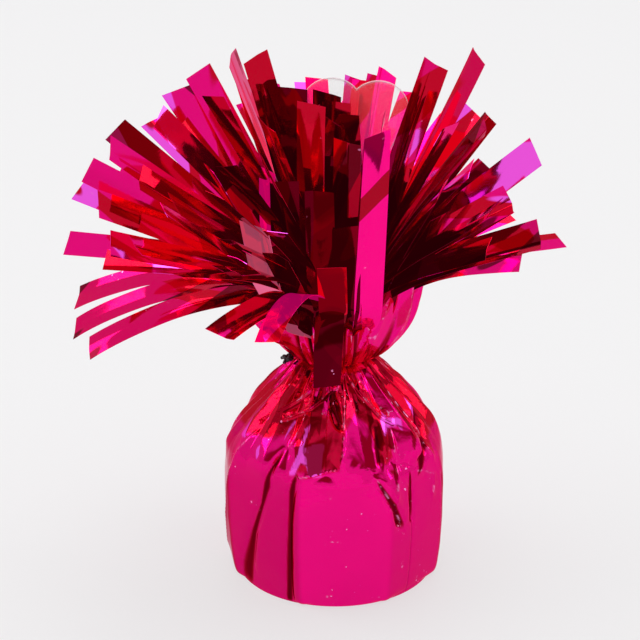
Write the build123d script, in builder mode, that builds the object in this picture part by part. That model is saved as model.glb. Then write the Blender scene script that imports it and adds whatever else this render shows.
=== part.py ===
"""Foil balloon weight: a cast plug in a pleated film bag, tied at the neck, with a fringe and a clear tab."""

import os
from math import cos, pi, radians, sin

from build123d import *

# Cast plug, drawn from a tapered cup mould
core_height = 38.6
core_foot_radius = 24.4
core_top_radius = 25.9
core_edge_radius = 7.0
core_foot_chamfer = 0.8

# Metallised film, drawn as one wall where the sheet lies double
film = 0.3
film_clearance = 0.3

# Film bag over the plug
foot_flare = 1.3
belly = 2.0
belly_height_share = 0.5
brow_angles = [0, 22, 42]
brow_flat_shares = [0.5, 0.35, 0.2]
shoulder_rise = 18.4
shoulder_height_shares = [0.3, 0.66]
shoulder_radius_shares = [0.76, 0.36]
shoulder_pleat_shares = [0.6, 1.0]
brow_pleat_share = 0.2
waist_pleat_share = 0.6
valley_share = 0.2
pleat = 2.6
pleat_sink = 0.9
waist_radius = 12.0
groove_depth = 3.4
groove_half_width = 2.8

# The bag's flat panels: the angle of each one's first corner, counted from the front, and how flat the panel is
front_azimuth = -90.0
panel_angles_and_flat_shares = [
    (-96, 0.5),
    (-70, 0.55),
    (-19, 0.3),
    (29, 0.7),
    (72, 0.5),
    (108, 0.6),
    (148, 0.5),
    (190, 0.6),
    (232, 0.5),
]

# The bag's folds: the angle of each one, counted from the front, and its share of the full fold
fold_angles_and_shares = [
    (-96, 0.5),
    (-83, 0.35),
    (-70, 0.4),
    (-45, 0.5),
    (-19, 0.8),
    (5, 1.0),
    (29, 0.8),
    (51, 1.0),
    (72, 0.7),
    (90, 0.9),
    (108, 0.8),
    (128, 1.0),
    (148, 0.7),
    (169, 0.9),
    (190, 0.8),
    (211, 1.0),
    (232, 0.7),
    (248, 0.9),
]

# Bunched film above the tie, which opens in deep folds up to the line where the cuts start
pleat_count = 22
neck_pleat = 1.3
gather_rise = 20.0
rim_radius = 20.0
rim_fold_depth = 12.0
flare_height_share = 0.55
flare_radius_share = 0.4

# Elastic tie round the neck
tie_cord_radius = 0.9
tie_clearance = 0.1
tie_lift = 0.8
knot_radius = 1.5
knot_azimuth = 192.0
knot_tail = 3.0
knot_tail_radius = 0.5
knot_tail_spread = 50.0

# Clear tab that the ribbon is tied to
tab_thickness = 0.5
tab_lobe_radius = 7.3
tab_lobe_spacing = 10.8
tab_lobe_rise = 63.6
tab_heart_drop = 22.0
tab_stem_width = 8.0
tab_flank_angle = 22.0
tab_stem_tail = 6.0
tab_lean = 4.0
tab_clearance = 0.3

# Fringe strips cut in the edge of the sheet
strip_width = 6.8
strip_length = 52.0
strip_root_gap = 0.2
strip_root_width = 2.0
strip_pinch_share = 0.3
inner_root_radius = 3.6
rim_lean = 100.0
root_lean_share = 0.7
bend_share = 0.6

# Each strip's tip azimuth, its lean from upright, the strip's roll, and its share of the length, by tier and side.
# A strip that doesn't start where its lean puts it has its share of the way out to the rim as well.
strip_angles_and_shares = {
    "fall_front": [(266, 165, 0, 0.36)],
    "droop_left": [(197, 103, -28, 0.88), (180, 107, -28, 0.9), (157, 110, -36, 0.96)],
    "droop_back": [
        (137, 106, 0, 0.94),
        (117, 103, 0, 0.9),
        (97, 107, 0, 0.94),
        (77, 103, 0, 0.92),
        (57, 106, 0, 0.9),
    ],
    "droop_right": [(37, 108, 0, 0.55)],
    "skirt_left": [(169, 89, -30, 0.93), (186, 82, -30, 0.78), (140, 81, -20, 1.0)],
    "skirt_front": [(242, 82, -15, 0.88), (253, 75, -5, 0.8)],
    "skirt_right": [(0, 81, 30, 0.56), (14, 90, 15, 0.74), (24, 76, 20, 0.6), (41, 90, 0, 0.65)],
    "skirt_back": [(129, 90, 0, 1.0), (111, 88, 0, 0.95), (85, 90, 0, 1.0), (63, 90, 0, 0.9)],
    "low_back": [(118, 76, 0, 1.0), (95, 80, 0, 0.95), (71, 78, 0, 1.0), (48, 83, 0, 0.75)],
    "mid_left": [
        (198, 61, -50, 1.06),
        (163, 72, -50, 1.0),
        (170, 63, -50, 1.02),
        (138, 62, -30, 1.0),
        (213, 68, -30, 0.95),
        (200, 72, -30, 0.9),
    ],
    "mid_front": [(224, 70, -20, 0.85), (238, 66, -10, 0.8)],
    "mid_right": [(338, 65, 50, 0.88), (10, 60, 50, 0.65), (40, 68, 0, 0.7), (321, 62, 40, 0.8)],
    "mid_back": [(112, 65, 0, 1.0), (85, 68, 0, 1.0), (58, 65, 0, 0.95)],
    "high_left": [
        (184, 50, -60, 1.08),
        (161, 53, -60, 1.04),
        (136, 45, -40, 1.0),
        (200, 37, -60, 1.15),
        (201, 52, -45, 1.0),
    ],
    "high_front": [
        (228, 47, -15, 0.9),
        (214, 54, -30, 0.9),
        (239, 57, -10, 0.85),
        (241, 46, -15, 0.6),
    ],
    "high_right": [
        (320, 55, 45, 1.0),
        (347, 46, 60, 1.04),
        (334, 51, 60, 0.9),
        (12, 45, 60, 0.72),
        (327, 40, 35, 0.9),
    ],
    "high_back": [(109, 55, 0, 1.0), (77, 54, 0, 1.0), (46, 57, 0, 0.9), (100, 42, 0, 0.9), (62, 45, 0, 0.89)],
    "crown_left": [(166, 33, -70, 1.05), (176, 25, -70, 1.12), (212, 28, 0, 1.12), (192, 36, -50, 1.0)],
    "crown_front": [(234, 33, -15, 0.95), (228, 22, -10, 0.95), (224, 37, -15, 0.9)],
    "curtain_front": [
        (316, 10, 40, 0.9, 0.4),
        (253, -3, -30, 0.85, 0.46),
        (288, -6, -5, 0.85, 0.46),
        (299, 9, 20, 0.85, 0.7),
        (268, -4, 8, 0.7, 0.7),
        (303, 6, 30, 0.5, 0.89),
        (271, 6, -20, 0.42, 0.95),
    ],
    "crown_right": [
        (327, 37, 50, 1.13),
        (2, 35, 30, 0.95),
        (6, 27, 30, 1.18),
        (32, 39, 40, 0.88),
        (330, 29, -5, 0.95),
    ],
    "crown_back": [(126, 31, 0, 0.87), (79, 31, 0, 0.88)],
    "centre_left": [(180, 13, -75, 1.12), (146, 22, -30, 0.95)],
    "centre_front": [(241, -1, 10, 1.0, 0.06), (268, -3, 0, 0.95, 0.22)],
    "centre_right": [(356, 17, 75, 1.12), (36, 11, 30, 0.97)],
    "centre_back": [(115, 8, 0, 0.92), (70, 20, 0, 0.88)],
}

# Heights and stand-offs that follow from the sizes above
standoff = film + film_clearance
edge_height = core_height - core_edge_radius
tie_height = core_height + shoulder_rise
rim_height = tie_height + gather_rise
neck_radius = waist_radius - groove_depth
tie_ring_radius = neck_radius + tie_cord_radius + tie_lift


def polar(radius, azimuth, height):
    """A point at that radius, azimuth in degrees and height."""
    return Vector(radius * cos(radians(azimuth)), radius * sin(radians(azimuth)), height)


def heading(azimuth, lean):
    """A unit direction at that azimuth, leaning that many degrees from upright."""
    return polar(sin(radians(lean)), azimuth, cos(radians(lean)))


def pleated_ring(height, crest, depth, inset=0):
    """A level zigzag outline with its fold crests at one radius and its valleys deeper, drawn in by the inset."""
    radii = [crest - inset, crest - depth - inset] * pleat_count
    step = 360 / len(radii)
    with BuildSketch(Plane.XY.offset(height)) as ring:
        Polygon(*[tuple(polar(radius, i * step, 0))[:2] for i, radius in enumerate(radii)], align=None)
    return ring.sketch


def panel_share(angle):
    """The radius of the bag's flat panels at an angle from the front, as a share of the radius at their corners."""
    corners = panel_angles_and_flat_shares + [(panel_angles_and_flat_shares[0][0] + 360, 0)]
    for (start, flat), (end, _) in zip(corners, corners[1:]):
        if start <= angle < end:
            half = radians(end - start) / 2
            return 1 + flat * (cos(half) / cos(radians(angle - start) - half) - 1)


def folded_ring(height, radius, flat_share, pleat_share, inset):
    """A level outline of the bag: it follows the panels, with the folds' ridges and the valleys between them."""
    outline = []
    folds = fold_angles_and_shares + [(fold_angles_and_shares[0][0] + 360, fold_angles_and_shares[0][1])]
    for (angle, share), (after, next_share) in zip(folds, folds[1:]):
        for place, rise in ((angle, share), ((angle + after) / 2, valley_share * (share + next_share) / 2)):
            wall = radius * (1 + flat_share * (panel_share(place) - 1))
            lift = pleat_share * (pleat * rise - pleat_sink)
            outline.append(tuple(polar(wall + lift - inset, front_azimuth + place, 0))[:2])
    with BuildSketch(Plane.XY.offset(height)) as ring:
        Polygon(*outline, align=None)
    return ring.sketch


def bag_rings(inset):
    """The bag's outlines from the floor up to the tie, drawn in by the inset."""
    hip = core_top_radius - core_edge_radius
    corner = core_edge_radius + standoff + film_clearance
    foot = core_foot_radius + standoff + foot_flare
    middle = (core_foot_radius + core_top_radius) / 2 + standoff + belly
    rings = [
        folded_ring(inset, foot, 1, 0, inset),
        folded_ring(edge_height * belly_height_share, middle, 1, 0, inset),
    ]
    for angle, flat_share in zip(brow_angles, brow_flat_shares):
        brow_height = edge_height + corner * sin(radians(angle))
        brow = hip + corner * cos(radians(angle)) + film_clearance
        rings.append(folded_ring(brow_height, brow, flat_share, brow_pleat_share, inset))
    waist_height = tie_height - groove_half_width
    for height_share, radius_share, pleat_share in zip(
        shoulder_height_shares, shoulder_radius_shares, shoulder_pleat_shares
    ):
        shoulder_height = brow_height + (waist_height - brow_height) * height_share
        shoulder = waist_radius + (brow - waist_radius) * radius_share
        rings.append(folded_ring(shoulder_height, shoulder, 0, pleat_share, inset))
    rings.append(folded_ring(waist_height, waist_radius, 0, waist_pleat_share, inset))
    rings.append(folded_ring(tie_height, neck_radius, 0, 0, inset))
    return rings


def gather_rings():
    """The outlines of the bunched film, from the tie up to the line where the cuts start."""
    flare = waist_radius + (rim_radius - waist_radius) * flare_radius_share
    flare_depth = neck_pleat + (rim_fold_depth - neck_pleat) * flare_radius_share
    return [
        pleated_ring(tie_height, neck_radius, neck_pleat),
        pleated_ring(tie_height + groove_half_width, waist_radius, neck_pleat),
        pleated_ring(tie_height + gather_rise * flare_height_share, flare, flare_depth),
        pleated_ring(rim_height, rim_radius, rim_fold_depth),
    ]


def strip_plane(azimuth, lean, roll, reach_share):
    """The plane of a strip's curve: it starts on the gather's top, short of its tip's heading by the bend."""
    bend = lean * (1 - root_lean_share)
    start_azimuth = azimuth - bend * sin(radians(roll)) / sin(radians(lean))
    start = heading(start_azimuth, lean - bend * cos(radians(roll)))
    across = heading(start_azimuth + 90, 90).rotate(Axis((0, 0, 0), start), roll)
    root = inner_root_radius + (rim_radius - inner_root_radius) * reach_share
    lift = strip_root_gap + strip_root_width / 2 * abs(across.Z)
    return Plane(origin=polar(root, start_azimuth, rim_height + lift), x_dir=start, z_dir=across)


def fringe_strip(azimuth, lean, roll, length_share, reach_share=None):
    """One strip: pinched where it leaves the gather, bent along an arc and then straight to its cut end."""
    plane = strip_plane(azimuth, lean, roll, reach_share or min(lean / rim_lean, 1))
    length = strip_length * length_share
    pinch = length * strip_pinch_share
    bend = lean * (1 - root_lean_share)
    with BuildPart() as strip:
        with BuildSketch(plane):
            with BuildLine():
                arc = JernArc((0, 0), (1, 0), length * bend_share / abs(radians(bend)), bend)
                Line(arc @ 1, arc @ 1 + (arc % 1) * length * (1 - bend_share))
            trace(line_width=film)
        extrude(amount=strip_width / 2, both=True)
        with BuildSketch(Plane(origin=plane.origin, x_dir=plane.x_dir, z_dir=plane.y_dir)):
            with BuildLine():
                Polyline(
                    (-film, -strip_root_width / 2),
                    (pinch, -strip_width / 2),
                    (length, -strip_width / 2),
                    (length, strip_width / 2),
                    (pinch, strip_width / 2),
                    (-film, strip_root_width / 2),
                    close=True,
                )
            make_face()
        extrude(amount=length, both=True, mode=Mode.INTERSECT)
    return strip.part


# Cast plug
with BuildPart() as weight_core:
    with BuildSketch(Plane.XZ) as core_half:
        with BuildLine():
            Polyline(
                (0, standoff),
                (core_foot_radius, standoff),
                (core_top_radius, core_height),
                (0, core_height),
                close=True,
            )
        make_face()
        outer = core_half.vertices().sort_by(Axis.X)[2:]
        fillet(outer.sort_by(Axis.Y)[-1], core_edge_radius)
        chamfer(outer.sort_by(Axis.Y)[0], core_foot_chamfer)
    revolve(axis=Axis.Z)

# Pleated film bag round the plug, open at the neck
with BuildPart() as foil_bag:
    loft(bag_rings(0), ruled=True)
    loft(bag_rings(film), ruled=True, mode=Mode.SUBTRACT)

# The plane that the tab stands in, with its origin on the axis at the tie
tab_plane = Plane(
    origin=(0, 0, tie_height),
    x_dir=(cos(radians(tab_lean)), 0, -sin(radians(tab_lean))),
    z_dir=(0, -1, 0),
)

# Bunched film above the tie, slotted for the tab
with BuildPart() as film_gather:
    loft(gather_rings(), ruled=True)
    with BuildSketch(tab_plane):
        Rectangle(tab_stem_width + 2 * tab_clearance, 4 * gather_rise)
    extrude(amount=tab_thickness / 2 + tab_clearance, both=True, mode=Mode.SUBTRACT)

# Elastic loop in the groove of the neck
with BuildPart() as neck_tie:
    with Locations((0, 0, tie_height)):
        Torus(tie_ring_radius, tie_cord_radius)

# Knot of the loop, with its two cut tails
with BuildPart() as tie_knot:
    knot_centre = polar(tie_ring_radius + knot_radius, knot_azimuth, tie_height)
    with Locations(knot_centre):
        Sphere(knot_radius)
    for side in (-1, 1):
        tail_way = heading(knot_azimuth + side * knot_tail_spread, 90)
        with Locations(Plane(origin=knot_centre, z_dir=tail_way)):
            Cylinder(knot_tail_radius, knot_tail, align=(Align.CENTER, Align.CENTER, Align.MIN))
    with Locations((0, 0, tie_height)):
        Torus(tie_ring_radius, tie_cord_radius + tie_clearance, mode=Mode.SUBTRACT)

# Clear tab: two lobes that taper to a stem, which goes down through the neck
with BuildPart() as ribbon_tab:
    with BuildSketch(tab_plane):
        drop = tab_lobe_rise - tab_heart_drop
        with Locations((-tab_lobe_spacing / 2, tab_lobe_rise), (tab_lobe_spacing / 2, tab_lobe_rise)):
            Circle(tab_lobe_radius)
        with BuildLine():
            flank = polar(tab_lobe_radius, -tab_flank_angle, 0)
            flank_x = tab_lobe_spacing / 2 + flank.X
            flank_y = tab_lobe_rise + flank.Y
            Polyline(
                (-flank_x, flank_y),
                (-tab_stem_width / 2, drop),
                (tab_stem_width / 2, drop),
                (flank_x, flank_y),
                close=True,
            )
        make_face()
        with Locations((0, (drop - tab_stem_tail) / 2)):
            Rectangle(tab_stem_width, drop + tab_stem_tail)
    extrude(amount=tab_thickness / 2, both=True)

pieces = {
    "weight_core": weight_core,
    "foil_bag": foil_bag,
    "film_gather": film_gather,
    "neck_tie": neck_tie,
    "tie_knot": tie_knot,
    "ribbon_tab": ribbon_tab,
}

# Fringe, in groups by tier and side
for tier, rows in strip_angles_and_shares.items():
    strips = [fringe_strip(*row) for row in rows]
    with BuildPart() as fringe:
        add(strips)
    pieces["fringe_" + tier] = fringe

os.makedirs("parts", exist_ok=True)
for name, piece in pieces.items():
    piece.part.label = name
    export_step(piece.part, f"parts/{name}.step")
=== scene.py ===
"""Foil balloon weight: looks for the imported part, laid out as an add-on and run as a script."""

import math
from typing import NamedTuple

import bpy
import numpy as np
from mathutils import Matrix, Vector


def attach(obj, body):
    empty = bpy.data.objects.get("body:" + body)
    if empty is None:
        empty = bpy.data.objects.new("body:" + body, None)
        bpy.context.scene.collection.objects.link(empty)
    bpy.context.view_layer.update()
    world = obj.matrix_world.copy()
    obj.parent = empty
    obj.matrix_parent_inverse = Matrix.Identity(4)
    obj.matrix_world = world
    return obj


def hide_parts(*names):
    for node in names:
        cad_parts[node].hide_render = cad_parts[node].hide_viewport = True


bl_info = {
    "name": "Foil Balloon Weight",
    "version": (1, 0, 0),
    "blender": (4, 5, 0),
    "location": "View3D > Sidebar > Balloon Weight",
    "description": "Dresses a foil-wrapped balloon weight with its film bag, fringe, tie and ribbon tab",
    "category": "Object",
}

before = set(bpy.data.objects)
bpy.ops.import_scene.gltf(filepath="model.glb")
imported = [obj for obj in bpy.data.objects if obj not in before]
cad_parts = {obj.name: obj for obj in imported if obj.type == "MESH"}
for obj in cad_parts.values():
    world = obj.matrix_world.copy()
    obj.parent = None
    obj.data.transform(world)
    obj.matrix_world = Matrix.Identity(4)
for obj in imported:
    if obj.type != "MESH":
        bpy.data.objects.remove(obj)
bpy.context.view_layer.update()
MM = 0.001

# Places that the pieces share, in millimetres
TIE_HEIGHT = 57.0
RIM_HEIGHT = 77.0
RIM_RADIUS = 20.0

# The cast plug's side view, in millimetres
PLUG_START = 0.6
PLUG_HEIGHT = 38.6
PLUG_FOOT_RADIUS = 24.4
PLUG_TOP_RADIUS = 25.9
PLUG_EDGE_RADIUS = 7.0

# The bag, in millimetres: the film's gap to the plug, its lift under the foot, and how deep the shoulder
# sinks between pleats. Then how far out the panels' corners lie, as a share of the side view, and heights
# between which a form comes in or fades
FILM_GAP = 0.25
FOOT_LIFT = 0.12
SINK_DEPTH = 0.9
CORNER_SHARE = 1.018
FOOT_RISE = (0.0, 1.2)
PANEL_FADE = (26.0, 42.0)
BROW_RISE = (27.0, 37.0)
BROW_FADE = (45.0, 54.0)
# Heights between which the painted lamp highlights on the shoulder come in and fade
HIGHLIGHT_RISE = (35.0, 36.0)
HIGHLIGHT_FADE = (46.0, 50.0)
SINK_RISE = (36.0, 48.0)
NECK_RISE = (49.0, 56.0)

# The shoulder's pleats, in millimetres: heights between which they start, the rise to their full height,
# and the height at which each stands at its azimuth. Then the spread of their slants, in degrees to the
# millimetre
PLEAT_FEET = (27.0, 37.0)
PLEAT_RISE = 9.0
PLEAT_PIVOT = 46.0
PLEAT_SLANT = 0.3

# Crumpled patches of the bag: middle and half widths, each as degrees from the front and millimetres up
FRONT_PATCH = ((-12.0, 41.0), (24.0, 6.0))
RIGHT_PATCH = ((42.0, 38.0), (26.0, 10.0))

# How many folds go round the film: fine ones at the neck, and large ones in the gather
FINE_FOLDS = 37.0
GATHER_FOLDS = 14.0

# How the strips run, in millimetres, degrees and shares
ROOT_RADIUS = 3.6
START_LIFT = 0.2
RIM_LEAN = 100.0
BEND_SHARE = 0.3
BEND_END_SHARE = 0.6
STEM_DEPTH = 15.0
STEM_RADIUS = 7.0
CURL_SPREAD = 3.5
TWIST_SPREAD = 14.0
FOLD_SPREAD = 9.0
CUT_SPREAD = 9.0
# Sizes over which a strip's painted shade near the neck fades out
BURST_RADIUS = 46.0
BURST_HEIGHT = 56.0
NO_BAND = -9.0

# Noise of the film, in features to the metre, and colours that every film has: a faint painted glow that
# stands in for light bounced between films, and the tint of its reflection at grazing angles
CLOUD_SCALE = 70.0
PATCH_SCALE = 130.0
# Scale of the noise that breaks up the painted highlights along ridges
RIDGE_HIGHLIGHT_SCALE = 500.0
SPECK_SCALE = 900.0
BOUNCE_GLOW_COLOUR = (0.014, 0.0, 0.001)
EDGE_TINT = (0.95, 0.35, 0.5)

# The stage, in metres: where the camera and the lamps point, the floor's side view, and each lamp's name,
# place, size and watts
CAMERA_AIM = (-0.0038, 0.0, 0.066)
LAMP_AIM = (0.0, 0.0, 0.08)
FLOOR_SIDES = (-4.0, 4.0)
FLOOR_OUTLINE = [(4.0, 0.0), (-0.12, 0.0), (-0.16, 0.02), (-0.19, 0.06)]
SURROUND_COLOUR = (1.0, 1.0, 1.0)
DIM_COLOUR = (0.32, 0.07, 0.07)
LAMPS = [
    ("key_softbox", (-0.85, 0.2, 0.7), 0.6, 2.6),
    ("top_softbox", (0.1, 0.35, 1.0), 0.6, 2.8),
    ("right_softbox", (0.8, 0.15, 0.45), 0.4, 0.9),
]


class Strip(NamedTuple):
    """A fringe strip: how it stands, and its looks where they aren't the usual ones."""

    azimuth: float  # of its tip, in degrees
    lean: float  # from upright, in degrees
    roll: float  # in degrees
    share: float  # of the strip length
    reach: float | None = None  # share of the way out to the rim where it starts; if None, its lean sets it
    # dark paints shade, red a reflection of red film, glint more lamp highlights and lit a glow
    dark: float | None = None  # how dark it is; without a value it is dark only near the neck
    red: float = 0.0  # how red it is
    glint: float = 0.0  # how much more of it mirrors a lamp
    lit: float = 0.0  # how much it glows in its own colour
    # pale paints a pale reflection over the strip
    pale: float = 0.0  # how much of its dull side shows
    curl: float = 0.0  # degrees that its tip curls over
    turn: float = 0.0  # degrees that all of it turns
    trim: float = 1.0  # share of its length that is left
    # band paints one slanted reflection of red film
    band: float = NO_BAND  # place along it of a slanted band that mirrors red film


# The strips of the part, by tier and side
STRIPS = {
    "fall_front": [Strip(266, 165, 0, 0.36, dark=0.95, red=1, glint=-0.3)],
    "droop_left": [
        Strip(197, 103, -28, 0.88, dark=-0.2, red=0.5, glint=-0.3, curl=20, turn=-9),
        Strip(180, 107, -28, 0.9, dark=-0.2, red=0.5, glint=-0.3, curl=22, turn=-9),
        Strip(157, 110, -36, 0.96, dark=-0.2, red=0.5, glint=-0.3, curl=18, turn=-9),
    ],
    "droop_back": [
        Strip(137, 106, 0, 0.94),
        Strip(117, 103, 0, 0.9),
        Strip(97, 107, 0, 0.94),
        Strip(77, 103, 0, 0.92),
        Strip(57, 106, 0, 0.9),
    ],
    "droop_right": [Strip(37, 108, 0, 0.55)],
    "skirt_left": [
        Strip(169, 89, -30, 0.93, dark=-1),
        Strip(186, 82, -30, 0.78, dark=-0.5, glint=0.12),
        Strip(140, 81, -20, 1.0),
    ],
    "skirt_front": [
        Strip(242, 82, -15, 0.88, dark=-0.8, glint=-0.1, curl=12),
        Strip(253, 75, -5, 0.8, dark=-1.5, glint=-0.1, lit=0.4, curl=45),
    ],
    "skirt_right": [
        Strip(0, 81, 30, 0.56, dark=0.1, glint=-0.2),
        Strip(14, 90, 15, 0.74, dark=-0.3, glint=-0.3),
        Strip(24, 76, 20, 0.6, dark=0.1, glint=-0.2),
        Strip(41, 90, 0, 0.65, glint=-0.2),
    ],
    "skirt_back": [
        Strip(129, 90, 0, 1.0),
        Strip(111, 88, 0, 0.95),
        Strip(85, 90, 0, 1.0),
        Strip(63, 90, 0, 0.9),
    ],
    "low_back": [
        Strip(118, 76, 0, 1.0),
        Strip(95, 80, 0, 0.95),
        Strip(71, 78, 0, 1.0, dark=-1, glint=0.5, lit=0.5, pale=0.3),
        Strip(48, 83, 0, 0.75),
    ],
    "mid_left": [
        Strip(198, 61, -50, 1.06, dark=-0.6),
        Strip(163, 72, -50, 1.0),
        Strip(170, 63, -50, 1.02, dark=-0.6, glint=0.04),
        Strip(138, 62, -30, 1.0),
        Strip(213, 68, -30, 0.95, dark=-1, glint=-0.05),
        Strip(200, 72, -30, 0.9, glint=0.08),
    ],
    "mid_front": [
        Strip(224, 70, -20, 0.85, dark=-0.4, red=1, glint=-0.1),
        Strip(238, 66, -10, 0.8, dark=0, red=0.8, glint=-0.1),
    ],
    "mid_right": [
        Strip(338, 65, 50, 0.88, dark=0.2, glint=-0.2),
        Strip(10, 60, 50, 0.65),
        Strip(40, 68, 0, 0.7),
        Strip(321, 62, 40, 0.8),
    ],
    "mid_back": [Strip(112, 65, 0, 1.0), Strip(85, 68, 0, 1.0), Strip(58, 65, 0, 0.95)],
    "high_left": [
        Strip(184, 50, -60, 1.08, dark=-0.5, glint=0.1),
        Strip(161, 53, -60, 1.04, dark=-0.6, glint=0),
        Strip(136, 45, -40, 1.0, glint=-0.1),
        Strip(200, 37, -60, 1.15, glint=0.1),
        Strip(201, 52, -45, 1.0, dark=-0.4, red=1, glint=-0.1),
    ],
    "high_front": [
        Strip(228, 47, -15, 0.9, dark=0.4, red=1),
        Strip(214, 54, -30, 0.9, dark=-0.4, red=1),
        Strip(239, 57, -10, 0.85, dark=0.1, red=1, glint=-0.2),
        Strip(241, 46, -15, 0.6),
    ],
    "high_right": [
        Strip(320, 55, 45, 1.0, dark=0.4, glint=-0.2),
        Strip(347, 46, 60, 1.04, glint=0.06),
        Strip(334, 51, 60, 0.9),
        Strip(12, 45, 60, 0.72),
        Strip(327, 40, 35, 0.9),
    ],
    "high_back": [
        Strip(109, 55, 0, 1.0),
        Strip(77, 54, 0, 1.0, dark=-1, glint=0.25),
        Strip(46, 57, 0, 0.9),
        Strip(100, 42, 0, 0.9, dark=-1, glint=0.12, lit=0.5),
        Strip(62, 45, 0, 0.89, dark=-1, lit=0.5),
    ],
    "crown_left": [
        Strip(166, 33, -70, 1.05, dark=-0.3, glint=0.08),
        Strip(176, 25, -70, 1.12, dark=-0.6, glint=-0.1),
        Strip(212, 28, 0, 1.12, dark=-0.2, red=1),
        Strip(192, 36, -50, 1.0, dark=-0.4, red=1, glint=-0.1),
    ],
    "crown_front": [
        Strip(234, 33, -15, 0.95, dark=0.1, red=1),
        Strip(228, 22, -10, 0.95, dark=-0.2, red=1),
        Strip(224, 37, -15, 0.9, dark=0.5),
    ],
    "curtain_front": [
        Strip(316, 10, 40, 0.9, reach=0.4, dark=0.6),
        Strip(253, -3, -30, 0.85, reach=0.46, dark=0.5, glint=-0.2),
        Strip(288, -6, -5, 0.85, reach=0.46, dark=0.35, red=1, glint=-0.2),
        Strip(299, 9, 20, 0.85, reach=0.7, dark=-2.5, glint=-0.2, turn=-20),
        Strip(268, -4, 8, 0.7, reach=0.7, dark=0.9, glint=-0.2),
        Strip(303, 6, 30, 0.5, reach=0.89, dark=-2.5, glint=-0.2),
        Strip(271, 6, -20, 0.42, reach=0.95, dark=0.8),
    ],
    "crown_right": [
        Strip(327, 37, 50, 1.13, dark=0.3, glint=-0.2),
        Strip(2, 35, 30, 0.95, dark=0.4, glint=-0.2),
        Strip(6, 27, 30, 1.18, dark=0, red=0.7, glint=-0.3, turn=12),
        Strip(32, 39, 40, 0.88),
        Strip(330, 29, -5, 0.95),
    ],
    "crown_back": [Strip(126, 31, 0, 0.87), Strip(79, 31, 0, 0.88, dark=-1, glint=0.1, lit=0.5)],
    "centre_left": [Strip(180, 13, -75, 1.12, dark=-0.1, red=1, glint=-0.3), Strip(146, 22, -30, 0.95)],
    "centre_front": [
        Strip(241, -1, 10, 1.0, reach=0.06, dark=0.7, glint=-0.2, trim=0.93),
        Strip(268, -3, 0, 0.95, reach=0.22, dark=0.15, red=1, glint=-0.2, trim=0.95),
    ],
    "centre_right": [
        Strip(356, 17, 75, 1.12, dark=-0.1, red=0.3, glint=0.12),
        Strip(36, 11, 30, 0.97, dark=-1, glint=0.1, lit=0.5),
    ],
    "centre_back": [Strip(115, 8, 0, 0.92, dark=-1, lit=0.5), Strip(70, 20, 0, 0.88, dark=-1, lit=0.5)],
}

# Short strips that only the looks have
FILLERS = {
    "curtain_front": [
        Strip(242, 1, 22, 0.61, reach=1.05, dark=0.8, glint=-0.2),
        Strip(225, 4, 10, 0.64, reach=0.98, dark=-8, glint=-0.2, lit=0.5),
        Strip(246, 1, -5, 0.95, reach=0.7, dark=-0.8, red=1, glint=-0.2),
        Strip(262, 8, 10, 0.6, reach=0.85, dark=0.95),
        Strip(272, 1, -17, 0.8, reach=0.88, dark=0.45, red=0.8, glint=-0.2),
        Strip(287, 8, -15, 0.88, reach=1.03, dark=-5, glint=-0.2, lit=0.15, band=0.66),
        Strip(325, 30, 20, 0.75, reach=0.8, dark=0.6),
    ],
    "high_front": [
        Strip(233, 16, 4, 0.46, reach=1.22, dark=-1, glint=-0.3, lit=0.5, pale=1),
        Strip(316, 36, 15, 0.6, reach=0.92, dark=0.5),
        Strip(215, 30, -15, 0.8, reach=0.85),
        Strip(208, 48, -20, 0.75, reach=0.95),
    ],
    "mid_front": [
        Strip(232, 50, -10, 0.5, reach=1.0),
        Strip(246, 40, 0, 0.45, reach=1.0, dark=0.2, red=1, glint=-0.2),
        Strip(268, 42, 0, 0.4, reach=1.0, dark=-1, red=1, glint=-0.2, lit=0.2),
    ],
    "centre_left": [
        Strip(184, 21, -20, 1.15, reach=0.15, dark=-0.5, glint=-0.3, lit=0.35, pale=0.9),
        Strip(215, 6, 20, 0.97, reach=0.27, dark=1, glint=-0.3),
    ],
}

# The bag's side view: radius and height from the edge of the foot to the neck, in millimetres
BAG_PROFILE = [
    (24.4, 0.0), (25.6, 0.4), (26.2, 2.5), (26.9, 8.0), (27.4, 16.0), (27.4, 25.0), (27.1, 30.0),
    (26.4, 34.0), (25.0, 36.6), (22.3, 40.6), (19.2, 44.6), (15.8, 48.8), (12.8, 52.0), (10.8, 54.4),
    (9.8, 55.9), (8.6, 56.7), (7.2, 57.2),
]

# The foot's flat panels: the azimuth of each one's first corner, in degrees from the front, and how flat
# it is and how much painted shade it has
PANELS = [
    (-96, 0.6, 0.5), (-70, 0.8, 0.2), (-19, 0.85, 0.0), (29, 0.85, 0.12), (72, 0.7, 0.35),
    (108, 0.6, 0.1), (148, 0.5, 0.0), (190, 0.6, 0.2), (232, 0.5, 0.0),
]

# The shoulder's folds: the azimuth of each one, in degrees from the front, and its share of the full height
FOLDS = [
    (-96, 0.5), (-83, 0.35), (-70, 0.4), (-45, 0.5), (-19, 0.8), (5, 1.0), (29, 0.8), (51, 1.0),
    (72, 0.7), (90, 0.9), (108, 0.8), (128, 1.0), (148, 0.7), (169, 0.9), (190, 0.8), (211, 1.0),
    (232, 0.7), (248, 0.9),
]

# Where the shoulder is painted with red reflections of film: degrees from the front and height in
# millimetres
SHOULDER_EDGE = [
    (-180, 40.0), (-100, 40.0), (-66, 40.0), (-48, 41.5), (-34, 43.0), (-26, 41.0), (-22, 36.5),
    (-8, 37.2), (2, 38.0), (5, 45.0), (16, 48.0), (24, 46.0), (28, 38.0), (34, 34.0), (38, 46.0),
    (46, 47.0), (52, 34.0), (62, 31.0), (72, 38.0), (110, 40.0), (180, 40.0),
]
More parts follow.
